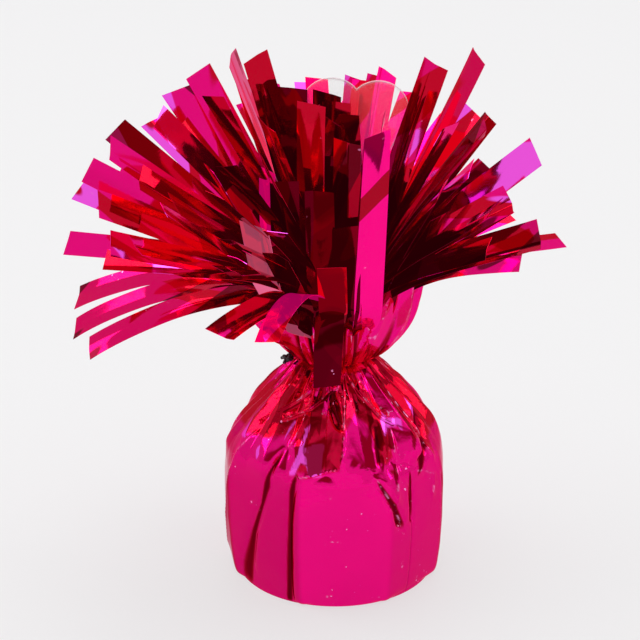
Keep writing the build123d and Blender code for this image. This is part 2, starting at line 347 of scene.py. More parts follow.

# Grooves in the bag, painted with shade along them: depth in millimetres, then points as degrees from the
# front, height and half width
BAG_GROOVES = [
    (
        1.4,
        [
            (-34, 40, 0.2), (-38, 35, 0.4), (-40, 31, 1.0), (-44, 25, 0.5), (-52, 16, 0.9),
            (-59, 5, 2.0), (-61, 0.2, 2.2),
        ],
    ),
    (1.5, [(-22, 36, 0.3), (-24, 31, 0.8), (-25, 23, 0.6), (-26, 12, 0.9), (-27, 2, 0.9), (-27, 0.2, 0.7)]),
    (1.5, [(-6, 53, 0.7), (-1, 49.5, 1.1), (4, 46, 0.4)]),
    (1.2, [(80, 46, 0.6), (66, 40, 1.5), (56, 35.5, 1.3), (51, 32, 0.4)]),
    (1.3, [(23, 34, 0.3), (31, 27, 0.7), (37, 20.5, 0.9)]),
    (0.8, [(44, 34, 0.3), (45, 26, 0.5), (45, 20, 0.2)]),
    (0.9, [(30, 46, 0.4), (27, 41, 0.7), (26, 37, 0.3)]),
    (0.7, [(72, 29, 0.2), (75, 14, 0.4), (80, 3, 0.3)]),
    (0.7, [(118, 38, 0.3), (124, 20, 0.8), (130, 2, 1.6)]),
    (0.7, [(160, 37, 0.3), (158, 20, 0.7), (150, 2, 1.0)]),
    (0.7, [(205, 38, 0.4), (214, 20, 0.7), (216, 2, 0.9)]),
    (0.7, [(250, 38, 0.3), (246, 22, 0.8), (254, 2, 1.6)]),
]

# Ridges in the bag, each with a thin painted highlight along its crest: height, steep half width and gentle
# half width in millimetres, then points as above
BAG_RIDGES = [
    (1.0, 0.4, 2.5, [(-22, 35.2), (-8, 36.6), (2, 38), (4, 42), (6, 47.5), (9, 53)]),
    (0.9, 0.4, 2.0, [(21, 35.5), (30, 28), (38, 20)]),
    (0.9, 0.4, 2.2, [(41, 46), (37, 40), (35, 34), (31, 26)]),
    (0.6, 0.4, 1.8, [(46, 33.5), (56, 32.6), (64, 30), (62, 24)]),
    (1.3, 0.4, 3.2, [(-52, 46.5), (-38, 50), (-24, 53.6)]),
    (1.3, 0.4, 3.0, [(-45, 45.5), (-30, 48), (-15, 51), (4, 54)]),
    (0.9, 0.4, 1.8, [(-24, 49), (-27, 45), (-31, 41)]),
    (1.0, 0.4, 2.2, [(18, 55), (28, 51), (36, 47), (44, 45)]),
    (0.9, 0.4, 2.0, [(60, 53), (58, 47), (62, 40), (66, 33)]),
    (0.6, 0.5, 3.0, [(-60, 42), (-75, 22), (-84, 4)]),
    (0.7, 0.4, 2.0, [(135, 35), (150, 24), (172, 33)]),
    (0.7, 0.4, 2.0, [(222, 36), (235, 26), (240, 14)]),
]

# The gather's edge: degrees from the front, radius and height in millimetres, and how soon it flares
GATHER_EDGE = [
    (-180, 20.0, 76.0, 1.6), (-140, 21.0, 73.0, 1.5), (-105, 22.0, 70.0, 1.4), (-75, 21.0, 69.0, 1.3),
    (-50, 18.0, 69.5, 1.3), (-25, 15.5, 72.0, 1.5), (0, 15.0, 76.0, 1.8), (25, 16.0, 79.0, 2.2),
    (50, 18.5, 81.0, 2.8), (80, 20.5, 82.0, 3.2), (110, 20.5, 81.5, 3.0), (145, 20.0, 79.0, 2.2),
    (180, 20.0, 76.0, 1.6),
]


def colour_setting(name, description, default):
    """A property for a colour."""
    return bpy.props.FloatVectorProperty(
        name=name, description=description, subtype="COLOR", size=3, min=0.0, max=1.0, default=default
    )


def number_setting(name, description, default, **limits):
    """A property for a number."""
    return bpy.props.FloatProperty(name=name, description=description, default=default, **limits)


def length_setting(name, description, default):
    """A property for a length in metres."""
    return number_setting(name, description, default, subtype="DISTANCE")


class FilmSettings(bpy.types.PropertyGroup):
    """Sizes and colours of the metallised film, and of its painted shade, reflections and highlights."""

    colour: colour_setting("Film colour", "Colour of the film's reflection", (0.95, 0.001, 0.225))
    # painted shade in deep folds, and painted dark reflections on the strips
    painted_shade_colour: colour_setting("Fold colour", "Colour in the depth of a fold", (0.1, 0.0, 0.006))
    # painted reflection of red film
    red_reflection_colour: colour_setting("Red colour", "Colour where film mirrors film", (0.6, 0.0, 0.02))
    # painted highlight where film mirrors a lamp
    lamp_highlight_colour: colour_setting("Light colour", "Colour where film mirrors a lamp", (1.0, 0.1, 0.85))
    # real scuffs on specks, and painted highlights along ridges
    scuff_and_highlight_colour: colour_setting("Scuff colour", "Colour where lacquer is rubbed off", (0.95, 0.3, 0.62))
    # painted pale reflection on some strips
    pale_reflection_colour: colour_setting("Pale colour", "Colour of a strip's dull side", (0.58, 0.1, 0.2))
    gloss: number_setting("Film roughness", "Roughness of clean film", 0.05, min=0.0, max=1.0)
    thickness: length_setting("Film thickness", "Thickness of a strip", 0.00009)
    strip_width: length_setting("Strip width", "Width of a fringe strip", 0.0068)
    strip_length: length_setting("Strip length", "Length of a fringe strip at share 1", 0.052)
    pleat: length_setting("Pleat height", "Height of the tallest shoulder fold", 0.0026)


class FittingSettings(bpy.types.PropertyGroup):
    """Sizes and colours of the tie, the tab and the plug."""

    tie_colour: colour_setting("Tie colour", "Colour of the elastic", (0.012, 0.01, 0.012))
    tab_colour: colour_setting("Tab colour", "Tint of the clear sheet", (0.95, 0.93, 0.94))
    plug_colour: colour_setting("Plug colour", "Colour of the cast plug", (0.6, 0.58, 0.54))
    tab_thickness: length_setting("Tab thickness", "Thickness of the clear sheet", 0.0005)


class StageSettings(bpy.types.PropertyGroup):
    """Camera, floor and light."""

    elevation: number_setting(
        "Camera elevation", "Angle above the floor", math.radians(24), subtype="ANGLE"
    )
    distance: length_setting("Camera distance", "Distance to the aim point", 0.65)
    lens: number_setting("Lens", "Focal length in mm", 150.0)
    floor_colour: colour_setting("Floor colour", "Colour of the floor", (0.845, 0.848, 0.855))
    surround: number_setting("Surround", "Brightness of the white surround", 0.8, min=0.0, max=2.0)


class Wire:
    """A socket of a node tree. Sums and products of wires and numbers add Math nodes."""

    def __init__(self, graph, socket):
        self.graph = graph
        self.socket = socket

    def math(self, operation, *values):
        """A Math node on these values."""
        return self.graph.add("ShaderNodeMath", {"operation": operation}, dict(enumerate(values)))

    def __add__(self, other):
        return self.math("ADD", self, other)

    def __radd__(self, other):
        return self.math("ADD", other, self)

    def __sub__(self, other):
        return self.math("SUBTRACT", self, other)

    def __rsub__(self, other):
        return self.math("SUBTRACT", other, self)

    def __mul__(self, other):
        return self.math("MULTIPLY", self, other)

    def __rmul__(self, other):
        return self.math("MULTIPLY", other, self)

    def __abs__(self):
        return self.math("ABSOLUTE", self)

    def step(self, low, high):
        """0 below low and 1 above high, with a smooth rise between them."""
        inputs = {"Value": self, "From Min": low, "From Max": high}
        return self.graph.add("ShaderNodeMapRange", {"interpolation_type": "SMOOTHSTEP"}, inputs)


class Graph:
    """A node tree that is filled from expressions."""

    def __init__(self, owner):
        owner.use_nodes = True
        self.tree = owner.node_tree
        self.tree.nodes.clear()

    def add(self, kind, settings, inputs, output=0):
        """Adds a node: its settings come first, then a value or a wire for each named socket."""
        node = self.tree.nodes.new(kind)
        for name, value in settings.items():
            setattr(node, name, value)
        for name, value in inputs.items():
            if isinstance(value, Wire):
                self.tree.links.new(value.socket, node.inputs[name])
            else:
                node.inputs[name].default_value = value
        return Wire(self, node.outputs[output]) if len(node.outputs) else None

    def mix(self, factor, first, second):
        """A colour between two colours."""
        sockets = {0: factor, 6: first, 7: second}
        return self.add("ShaderNodeMix", {"data_type": "RGBA"}, sockets, 2)

    def point(self, x, y, z):
        """A vector of three values."""
        return self.add("ShaderNodeCombineXYZ", {}, {0: x, 1: y, 2: z})

    def mark(self, name):
        """The named value of each point."""
        return self.add("ShaderNodeAttribute", {"attribute_name": name}, {}, "Fac")

    def noise(self, place, scale, detail=2.0, distortion=0.0):
        """Cloudy noise with that many features to the metre."""
        inputs = {"Vector": place, "Scale": scale, "Detail": detail, "Distortion": distortion}
        return self.add("ShaderNodeTexNoise", {}, inputs)

    def bump(self, height, depth, strength):
        """A normal that is tilted by a height of that depth in metres."""
        return self.add("ShaderNodeBump", {}, {"Strength": strength, "Distance": depth, "Height": height})

    def surface(self, inputs):
        """Ends a material with a Principled shader that has those inputs."""
        shader = self.add("ShaderNodeBsdfPrincipled", {}, inputs)
        self.add("ShaderNodeOutputMaterial", {}, {"Surface": shader})


def new_material(name):
    """A new material, its graph, and each point's place on its piece in metres."""
    material = bpy.data.materials.new(name)
    graph = Graph(material)
    return material, graph, graph.add("ShaderNodeTexCoord", {}, {}, "Object")


def solid(colour):
    """A colour with an opaque fourth value."""
    return (*colour, 1.0)


def mirrored(graph, settings, lacquer, shade):
    """A strip's colour: slanted blocks of painted reflection along it are red, deep red or light, as where
    it mirrors its neighbours or a lamp. The dark ones get fewer towards the tip, and a dark strip has more
    of them. A strip may also have one slanted band of painted red reflection."""
    names = ("run", "wide", "mark", "glint", "band")
    run, wide, mark, glint, band = (graph.mark(name) for name in names)

    def blocks(lengthwise, slant, offset):
        """Smooth noise along a strip, slanted across it, with a pattern of its own on each strip."""
        place = graph.point(run * lengthwise + wide * slant, mark * 50.0 + offset, wide * 0.4)
        return graph.noise(place, 1.0, 0.0)

    # Painted reflections: red and deep red blocks of neighbouring film, light blocks of a lamp, and the
    # band
    red = (blocks(2.6, 0.5, 0.0) + shade * 0.1 - run * 0.06).step(0.49, 0.505)
    deep = (blocks(2.1, -0.6, 20.0) + shade * 0.3 - run * 0.1).step(0.52, 0.535)
    light = (blocks(2.8, 0.7, -20.0) + glint + run * 0.05 - abs(shade) * 0.12).step(0.655, 0.67)
    outside = abs(run - wide * 0.14 - band).step(0.065, 0.07)
    banded = tuple(0.5 * sum(pair) for pair in zip(settings.red_reflection_colour, settings.painted_shade_colour))
    colour = graph.mix(red, lacquer, solid(settings.red_reflection_colour))
    colour = graph.mix(deep * 0.9, colour, solid(settings.painted_shade_colour))
    colour = graph.mix(outside, solid(banded), colour)
    return graph.mix(light, colour, solid(settings.lamp_highlight_colour))


def film_material(
    name, settings, scuff_share, crinkle_scale=200.0, crinkle_height=0.00012, blocks=False
):
    """Metallised film: a tinted mirror under clear lacquer, with painted shade in deep folds, painted
    highlights on ridges and pale rubbed specks. It has painted red, lamp and pale reflections and a faint
    painted glow. Strips have blocks of painted reflection from their neighbours."""
    material, graph, place = new_material(name)
    marks = ("shade", "ridge_highlight", "red", "light", "pale", "lit")
    shade, ridge_highlight, red, light, pale, lit = (graph.mark(each) for each in marks)
    cloud = graph.noise(place, CLOUD_SCALE)
    crinkle = abs(graph.noise(place, crinkle_scale, 3.0, 0.6) - 0.5)
    patch = graph.noise(place, PATCH_SCALE).step(0.58 - scuff_share, 0.72 - scuff_share)
    speck = graph.noise(place, SPECK_SCALE, 1.0).step(0.7, 0.73) * patch
    # Real scuffed specks, and a painted highlight along the bag's ridges and the gather's crests
    wear_and_highlight = speck + ridge_highlight * graph.noise(place, RIDGE_HIGHLIGHT_SCALE).step(0.48, 0.6)
    deep = tuple(channel * 0.9 for channel in settings.colour)
    lacquer = graph.mix(cloud, solid(settings.colour), solid(deep))
    # Painted red reflection; dark places are painted red before they are painted with shade
    lacquer = graph.mix(red + shade.step(0.0, 0.7), lacquer, solid(settings.red_reflection_colour))
    # Painted reflection blocks on the strips
    if blocks:
        lacquer = mirrored(graph, settings, lacquer, shade)
    # Painted lamp highlights
    lacquer = graph.mix(light, lacquer, solid(settings.lamp_highlight_colour))
    # Painted shade in folds, on dark panels and on dark strips
    painted_shaded = graph.mix(shade * 0.97, lacquer, solid(settings.painted_shade_colour))
    # Scuff colour on the specks, which is real, and along the ridges, where it is a painted highlight
    colour = graph.mix(wear_and_highlight, painted_shaded, solid(settings.scuff_and_highlight_colour))
    # Painted pale reflection
    colour = graph.mix(pale, colour, solid(settings.pale_reflection_colour))
    inputs = {
        "Base Color": colour,
        "Roughness": settings.gloss + cloud * 0.04 + wear_and_highlight * 0.25,
        "Metallic": 1.0,
        "Specular Tint": solid(EDGE_TINT),
        "Coat Weight": 0.1 - shade.step(0.0, 1.0) * 0.1,
        "Coat Roughness": 0.03,
        # Painted glow: a faint dark red glow on all film for bounced light, and strips lit in their own
        # colour
        "Emission Color": graph.mix(lit, solid(BOUNCE_GLOW_COLOUR), colour),
        "Emission Strength": 1.0,
        "Normal": graph.bump(crinkle, crinkle_height, 1.0),
    }
    graph.surface(inputs)
    return material


def elastic_material(settings):
    """Black elastic: fine ribs of the woven cover, with specks of lint."""
    material, graph, place = new_material("black_elastic")
    lint = graph.noise(place, 2500.0)
    rib = graph.add("ShaderNodeTexWave", {}, {"Vector": place, "Scale": 900.0, "Distortion": 3.0})
    dusty = tuple(channel * 3.0 + 0.02 for channel in settings.tie_colour)
    colour = graph.mix(lint.step(0.5, 0.75), solid(settings.tie_colour), solid(dusty))
    bump = graph.bump(rib, 0.00005, 0.6)
    graph.surface({"Base Color": colour, "Roughness": 0.28 + lint * 0.25, "Normal": bump})
    return material


def tab_material(settings):
    """Clear sheet: nearly see-through on its faces, milky towards its cut edge, and brighter there with a
    painted highlight.
    """
    material, graph, place = new_material("clear_sheet")
    edge = graph.mark("edge")
    haze = graph.noise(place, 160.0)
    scratch = graph.noise(place, 1400.0, 2.0, 1.0).step(0.66, 0.7)
    inputs = {
        # Towards the cut edge: a milky sheet, and a painted pale pink highlight
        "Base Color": graph.mix(edge, solid(settings.tab_colour), (1.0, 0.9, 0.95, 1.0)),
        "Roughness": 0.06 + scratch * 0.2,
        "Alpha": 0.04 + edge.step(0.0, 1.0) * 0.5 + haze * 0.05 + scratch * 0.04,
        "IOR": 1.5,
        "Normal": graph.bump(haze, 0.0001, 0.3),
    }
    graph.surface(inputs)
    return material


def plug_material(settings):
    """Cast cement: pale, with sand grains and small air holes."""
    material, graph, place = new_material("cast_cement")
    sand = graph.noise(place, 900.0, 3.0)
    holes = graph.add("ShaderNodeTexVoronoi", {}, {"Vector": place, "Scale": 220.0}).step(0.05, 0.2)
    dark = tuple(channel * 0.7 for channel in settings.plug_colour)
    colour = graph.mix(sand, solid(dark), solid(settings.plug_colour))
    bump = graph.bump(sand * 0.4 + holes, 0.0003, 0.6)
    graph.surface({"Base Color": colour, "Roughness": 0.75 + sand * 0.2, "Normal": bump})
    return material


def smooth_step(low, high, value):
    """0 below low, 1 above high, and a smooth cubic rise between them."""
    share = np.clip((value - low) / (high - low), 0.0, 1.0)
    return share * share * (3.0 - 2.0 * share)


def heading(azimuth, lean):
    """A unit direction at that azimuth, leaning that many degrees from upright."""
    a, b = np.radians(azimuth), np.radians(lean)
    return np.array([np.sin(b) * np.cos(a), np.sin(b) * np.sin(a), np.cos(b)])


def round_axis(azimuth, radius, height):
    """Points at those degrees from the front, radii and heights."""
    a = np.radians(azimuth)
    return np.stack(np.broadcast_arrays(radius * np.sin(a), -radius * np.cos(a), height), axis=-1)


def fold_wave(phase):
    """A zigzag that is 1 at whole phases and 0 half-way between them."""
    return np.abs(2.0 * (phase - np.floor(phase)) - 1.0)


def grid_quads(index):
    """The quads of a grid of vertex numbers, in rows and columns."""
    corners = (index[:-1, :-1], index[1:, :-1], index[1:, 1:], index[:-1, 1:])
    return np.stack(corners, axis=-1).reshape(-1, 4)


def outward(points, quads):
    """The quads, turned round if their closed shape has a negative volume."""
    a, b, c, d = (points[quads[:, k]] for k in range(4))
    volume = np.einsum("ij,ij->", a, np.cross(b, c)) + np.einsum("ij,ij->", a, np.cross(c, d))
    return quads if volume > 0 else quads[:, ::-1]


def slab(middle, normal, thickness):
    """A closed sheet: its middle surface moved half the thickness both ways, with walls round the edge."""
    half = normal * (thickness / 2.0)
    points = np.concatenate([(middle + half).reshape(-1, 3), (middle - half).reshape(-1, 3)])
    front = np.arange(middle.shape[0] * middle.shape[1]).reshape(middle.shape[:2])
    back = front + front.size
    walls = [
        np.stack([back[0], front[0]]),
        np.stack([front[-1], back[-1]]),
        np.stack([front[:, 0], back[:, 0]]),
        np.stack([back[:, -1], front[:, -1]]),
    ]
    quads = np.concatenate([grid_quads(front), grid_quads(back)[:, ::-1], *(grid_quads(w) for w in walls)])
    return points, outward(points, quads)


def turned(rings):
    """A closed skin through rings of points, with its ends closed on their centres."""
    count, around = rings.shape[:2]
    index = np.arange(count * around).reshape(count, around)
    wrapped = np.concatenate([index, index[:, :1]], axis=1)
    centres = np.stack([rings[0].mean(axis=0), rings[-1].mean(axis=0)])
    points = np.concatenate([rings.reshape(-1, 3), centres])
    first = np.full((1, around + 1), count * around)
    last = first + 1
    quads = grid_quads(np.concatenate([first, wrapped, last]))
    return points, outward(points, quads)


def tube(path, radius, around=10):
    """A round tube along a path of points, with rings square to it and closed ends."""
    along = np.gradient(path, axis=0)
    along /= np.linalg.norm(along, axis=1, keepdims=True)
    side = np.cross(along, (0.11, 0.23, 0.97))
    side /= np.linalg.norm(side, axis=1, keepdims=True)
    other = np.cross(along, side)
    turn = np.linspace(0.0, 2.0 * np.pi, around, endpoint=False)[None, :, None]
    radius = np.broadcast_to(radius, len(path))[:, None, None]
    return turned(path[:, None] + radius * (np.cos(turn) * side[:, None] + np.sin(turn) * other[:, None]))


def joined(parts):
    """Several closed shapes as one list of points and faces."""
    starts = np.cumsum([0] + [len(points) for points, quads in parts[:-1]])
    points = np.concatenate([points for points, quads in parts])
    return points, np.concatenate([quads + start for (_, quads), start in zip(parts, starts)])


def faces_of(quads):
    """Quads as face tuples; one whose corner repeats becomes a triangle."""
    pole_first = quads[:, 0] == quads[:, 3]
    repeated = pole_first | (quads[:, 1] == quads[:, 2])
    triangles = np.where(pole_first[:, None], quads[:, [0, 1, 2]], quads[:, [0, 1, 3]])
    return quads[~repeated].tolist() + triangles[repeated].tolist()


def add_piece(name, shape, material, nodes, sharp_degrees=40.0):
    """Puts a shape, given in millimetres, into the scene in place of its CAD nodes."""
    points, quads = shape
    mesh = bpy.data.meshes.new(name)
    mesh.from_pydata(points * MM, [], faces_of(quads))
    mesh.shade_smooth()
    mesh.set_sharp_from_angle(angle=math.radians(sharp_degrees))
    mesh.materials.append(material)
    piece = bpy.data.objects.new(name, mesh)
    bpy.context.scene.collection.objects.link(piece)
    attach(piece, "root")
    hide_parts(*nodes)
    return piece


def add_marks(piece, marks):
    """Gives a piece's points named values that its material reads."""
    for name, values in marks.items():
        attribute = piece.data.attributes.new(name, "FLOAT", "POINT")
        attribute.data.foreach_set("value", values.astype(np.float32))


def resampled(profile, count):
    """A side view's points at even steps along its length, with its corners eased by averaging."""
    corners = np.array(profile, float)
    length = np.concatenate([[0.0], np.cumsum(np.linalg.norm(np.diff(corners, axis=0), axis=1))])
    even = np.linspace(0.0, length[-1], count)
    line = np.stack([np.interp(even, length, corners[:, k]) for k in range(2)], axis=1)
    for _ in range(6):
        line[1:-1] = (line[:-2] + 2.0 * line[1:-1] + line[2:]) / 4.0
    return line, even


def panelled(azimuth, panels, ease):
    """The radius, as a share, of a polygon with those corner azimuths: each side bows in towards its chord
    by how flat it is, and the corners are eased. Also gives how much painted shade each place's side has."""
    edges = np.array([corner for corner, flat, dark in panels] + [panels[0][0] + 360], float)
    flatness, tone = (np.array([panel[k] for panel in panels]) for k in (1, 2))
    turn = (azimuth - edges[0]) % 360.0 + edges[0]
    side = np.clip(np.searchsorted(edges, turn, side="right") - 1, 0, len(panels) - 1)
    half = np.radians(edges[side + 1] - edges[side]) / 2.0
    middle = (edges[side + 1] + edges[side]) / 2.0
    share = 1.0 + flatness[side] * (np.cos(half) / np.cos(np.radians(turn - middle)) - 1.0)
    dark = tone[side]
    for _ in range(ease):
        share = (np.roll(share, 1) + 2.0 * share + np.roll(share, -1)) / 4.0
        dark = (np.roll(dark, 1) + 2.0 * dark + np.roll(dark, -1)) / 4.0
    return share, dark


def traced(azimuth, along, radius, height_of, points):
    """How far each place is from a run of points on the bag: the signed distance, the run's own value
    there, and a fade that falls to 0 past both ends."""
    spots = [(a, np.interp(z, height_of[1], height_of[0]), value) for a, z, value in points]
    best = np.full(np.broadcast(azimuth, along).shape, 1e9)
    signed, value, share = np.zeros_like(best), np.zeros_like(best), np.zeros_like(best)
    for k, (start, end) in enumerate(zip(spots[:-1], spots[1:])):
        scale = np.radians(1.0) * np.interp((start[1] + end[1]) / 2.0, height_of[0], radius)
        x = ((azimuth - start[0] + 180.0) % 360.0 - 180.0) * scale
        y = along - start[1]
        dx, dy = (end[0] - start[0]) * scale, end[1] - start[1]
        t = np.clip((x * dx + y * dy) / (dx * dx + dy * dy), 0.0, 1.0)
        distance = np.hypot(x - t * dx, y - t * dy)
        nearer = distance < best
        best = np.where(nearer, distance, best)
        signed = np.where(nearer, distance * np.sign(x * dy - y * dx), signed)
        value = np.where(nearer, start[2] + t * (end[2] - start[2]), value)
        share = np.where(nearer, (k + t) / (len(spots) - 1), share)
    fade = np.clip(9.0 * np.minimum(share + 0.03, 1.03 - share), 0.0, 1.0)
    return signed, value, fade


def facets(azimuth, along, cells, size, seed):
    """Crumpled film: flat triangles between the corners of a grid, at random heights from -1 to 1. The grid
    has that many cells round the bag, and cells of that size up it."""
    rng = np.random.default_rng(seed)
    rows = int(np.max(along) / size) + 3
    heights = rng.uniform(-1.0, 1.0, (cells, rows))
    turned_way = rng.random((cells, rows)) < 0.5
    bend = rng.uniform(0.0, 6.3, 4)
    u = azimuth * cells / 360.0 + cells + 0.3 * np.sin(along / size * 1.7 + bend[0])
    v = along / size + 0.35 * np.sin(np.radians(azimuth * 5.0) + bend[1]) + 0.5
    i, j = np.floor(u).astype(int), np.clip(np.floor(v).astype(int), 0, rows - 2)
    fu, fv = u - np.floor(u), np.clip(v - j, 0.0, 1.0)
    flip = turned_way[i % cells, j]
    fu = np.where(flip, 1.0 - fu, fu)
    near, far = np.where(flip, i + 1, i) % cells, np.where(flip, i, i + 1) % cells
    h00, h10, h01, h11 = heights[near, j], heights[far, j], heights[near, j + 1], heights[far, j + 1]
    lower = h00 + (h10 - h00) * fu + (h01 - h00) * fv
    upper = h11 + (h01 - h11) * (1.0 - fu) + (h10 - h11) * (1.0 - fv)
    return np.where(fu + fv < 1.0, lower, upper)


def gathers(azimuth, height, tallest, seed):
    """Pleats that run down from the neck: at each place the tallest of a ring of tents, which have their
    own heights, slants and feet."""
    rng = np.random.default_rng(seed)
    lift = np.zeros(np.broadcast(azimuth, height).shape)
    ring = np.array([angle for angle, share in FOLDS], float)
    spacing = ((np.roll(ring, -1) - np.roll(ring, 1)) % 360.0) / 2.0
    for (middle, share), wide in zip(FOLDS, spacing):
        slant, low = rng.normal(0.0, PLEAT_SLANT), rng.uniform(*PLEAT_FEET)
        gap = (azimuth - middle - slant * (height - PLEAT_PIVOT) + 180.0) % 360.0 - 180.0
        tent = np.clip(1.0 - np.abs(gap) / (0.62 * wide), 0.0, 1.0)
        lift = np.maximum(lift, tallest * share * tent * smooth_step(low, low + PLEAT_RISE, height))
    return lift


def in_patch(azimuth, height, middle, half):
    """How far a place is in a patch: 1 in its middle, falling as a bell curve over its half widths."""
    return np.exp(-(((azimuth - middle[0]) / half[0]) ** 2) - ((height - middle[1]) / half[1]) ** 2)


def plug_radius(height):
    """The cast plug's radius at those heights: a tapered wall with a rounded top edge."""
    taper = (PLUG_TOP_RADIUS - PLUG_FOOT_RADIUS) / (PLUG_HEIGHT - PLUG_START)
    wall = PLUG_FOOT_RADIUS + taper * (height - PLUG_START)
    rise = np.clip(height - (PLUG_HEIGHT - PLUG_EDGE_RADIUS), 0.0, PLUG_EDGE_RADIUS)
    edge = PLUG_TOP_RADIUS - PLUG_EDGE_RADIUS + np.sqrt(PLUG_EDGE_RADIUS**2 - rise**2)
    return np.where(height > PLUG_HEIGHT, 0.0, np.minimum(wall, edge))


def bag_shape(pleat_height):
    """The film bag: a turned side view with flat panels at the foot, moved outwards by pleats, crumples and
    ridges and inwards by grooves. Also gives each point's painted shade in the grooves, on dark panels and
    in patches of the shoulder, painted highlights on the ridges, and painted red reflections and lamp
    highlights on the shoulder."""
    around, rows = 560, 160
    line, along = resampled(BAG_PROFILE, rows)
    radius, height = line[:, 0], line[:, 1]
    height_of = (along, height)
    azimuth = np.arange(around)[None, :] * 360.0 / around - 180.0
    s, z = along[:, None], height[:, None]
    panel, dark = (each[None, :] for each in panelled(azimuth[0], PANELS, ease=4))
    flat = 1.0 - smooth_step(*PANEL_FADE, z)
    spread = radius[:, None] * (1.0 + flat * (panel * CORNER_SHARE - 1.0))
    neck = smooth_step(*NECK_RISE, z)
    phase = FINE_FOLDS * azimuth / 360.0 + 0.5 * np.sin(np.radians(3.0 * azimuth))
    fine = fold_wave(phase + 0.03 * s) - 0.5
    lift = gathers(azimuth, z, pleat_height, seed=4) - SINK_DEPTH * smooth_step(*SINK_RISE, z)
    lift = lift * (1.0 - 0.45 * neck) + 0.9 * neck * fine
    brow = smooth_step(*BROW_RISE, z) * (1.0 - smooth_step(*BROW_FADE, z))
    front, right = (in_patch(azimuth, z, *each) for each in (FRONT_PATCH, RIGHT_PATCH))
    large = facets(azimuth, s, cells=18, size=11.0, seed=3)
    small = facets(azimuth, s, cells=34, size=5.0, seed=8)
    lift = lift + (0.15 + 0.35 * brow + 0.6 * right + 0.5 * front) * large
    lift = lift + (0.08 * brow + 0.6 * front + 0.25 * right) * small
    edge = np.array(SHOULDER_EDGE)
    shoulder = smooth_step(-0.6, 0.6, z - np.interp(azimuth, edge[:, 0], edge[:, 1]))
    # Painted red reflections and patches of painted shade on the shoulder
    red = 0.9 * shoulder * smooth_step(-0.34, -0.28, facets(azimuth, s, cells=30, size=12.0, seed=15))
    shade = 0.6 * shoulder * smooth_step(0.4, 0.46, facets(azimuth, s, cells=44, size=14.0, seed=12))
    # Painted shade on the darker panels
    shade = np.maximum(shade, dark * (0.4 + 0.6 * flat))
    # Painted lamp highlights on facets of the shoulder, with no painted shade under them
    light = smooth_step(*HIGHLIGHT_RISE, z) * (1.0 - smooth_step(*HIGHLIGHT_FADE, z))
    light = 0.8 * light * smooth_step(-75.0, -70.0, azimuth)
    light = light * smooth_step(0.52, 0.56, facets(azimuth + 4.0, s, cells=48, size=6.0, seed=17))
    shade = shade * (1.0 - light)
    ridge_highlight = np.zeros_like(lift)
    for depth, points in BAG_GROOVES:
        distance, half, fade = traced(azimuth, s, radius, height_of, points)
        # Painted shade along the bottom of each groove
        within = np.exp(-((np.abs(distance) / half) ** 4)) * fade
        lift = lift - depth * np.exp(-((np.abs(distance) / (half + 0.4)) ** 2)) * fade
        shade = np.maximum(shade, within)
    for tall, steep, gentle, points in BAG_RIDGES:
        distance, _, fade = traced(azimuth, s, radius, height_of, [(a, up, 0.0) for a, up in points])
        lift = lift + tall * fade * np.exp(-np.where(distance > 0.0, distance / steep, -distance / gentle))
        # A thin painted highlight along each ridge
        ridge_highlight = np.maximum(ridge_highlight, 0.75 * np.exp(-((distance / 0.16) ** 2)) * fade)
    foot = smooth_step(*FOOT_RISE, z)
    spread = np.maximum(spread + lift * (0.3 + 0.7 * foot), plug_radius(z) + FILM_GAP)
    rings = round_axis(azimuth, spread, z)
    under = rings[:1] * np.linspace(0.2, 0.94, 5)[:, None, None]
    under[..., 2] = FOOT_LIFT
    pad, ends = np.zeros(5 * around), np.zeros(2)
    marks = {"shade": shade, "ridge_highlight": ridge_highlight, "red": red, "light": light}
    marks = {name: np.concatenate([pad, values.ravel(), ends]) for name, values in marks.items()}
    return turned(np.concatenate([under, rings])), marks


